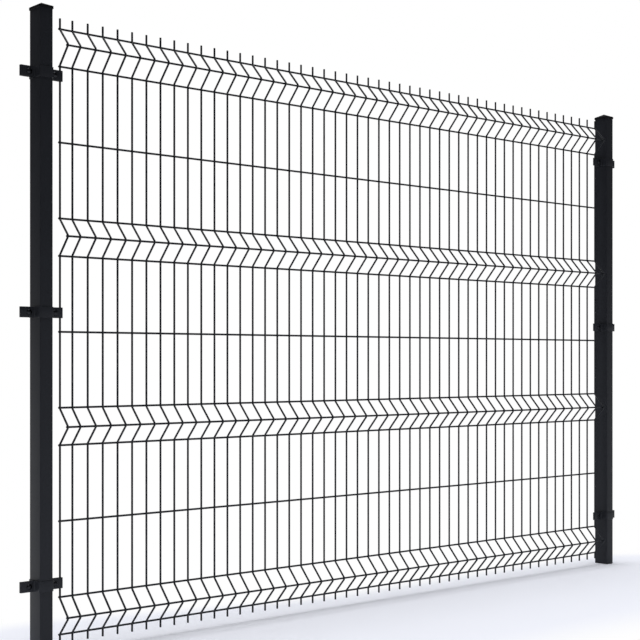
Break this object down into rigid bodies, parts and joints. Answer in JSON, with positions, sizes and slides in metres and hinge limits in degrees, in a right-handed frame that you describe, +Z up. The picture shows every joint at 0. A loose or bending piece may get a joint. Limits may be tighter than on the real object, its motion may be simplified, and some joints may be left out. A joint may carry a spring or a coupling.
{
  "type": "welded mesh fence panel with two posts",
  "caption": "Bay of folded welded wire mesh held by bent strip clamps between two rectangular posts with pyramid caps.",
  "frame": {"origin": "middle of the left post's foot, at ground level", "axes": "+X along the fence from the left post to the right post, +Y away from the side that the folds stand out to, +Z up"},
  "size_m": [2.6904, 0.0795, 1.821],
  "materials": {
    "coated_tube": "black powder coat, fine satin",
    "coated_wire": "black powder coat over zinc, satin",
    "coated_strip": "black powder coat, satin",
    "cap_plastic": "black moulded plastic"
  },
  "bodies": {
    "root": {"left_post": "coated_tube", "right_post": "coated_tube", "left_cap": "cap_plastic", "right_cap": "cap_plastic", "mesh_left_end": "coated_wire", "mesh_left": "coated_wire", "mesh_middle": "coated_wire", "mesh_right": "coated_wire", "mesh_right_end": "coated_wire", "left_clamp_bottom_front": "coated_strip", "left_clamp_bottom_rear": "coated_strip", "left_clamp_middle_front": "coated_strip", "left_clamp_middle_rear": "coated_strip", "left_clamp_top_front": "coated_strip", "left_clamp_top_rear": "coated_strip", "right_clamp_bottom_front": "coated_strip", "right_clamp_bottom_rear": "coated_strip", "right_clamp_middle_front": "coated_strip", "right_clamp_middle_rear": "coated_strip", "right_clamp_top_front": "coated_strip", "right_clamp_top_rear": "coated_strip"}
  },
  "joints": []
}
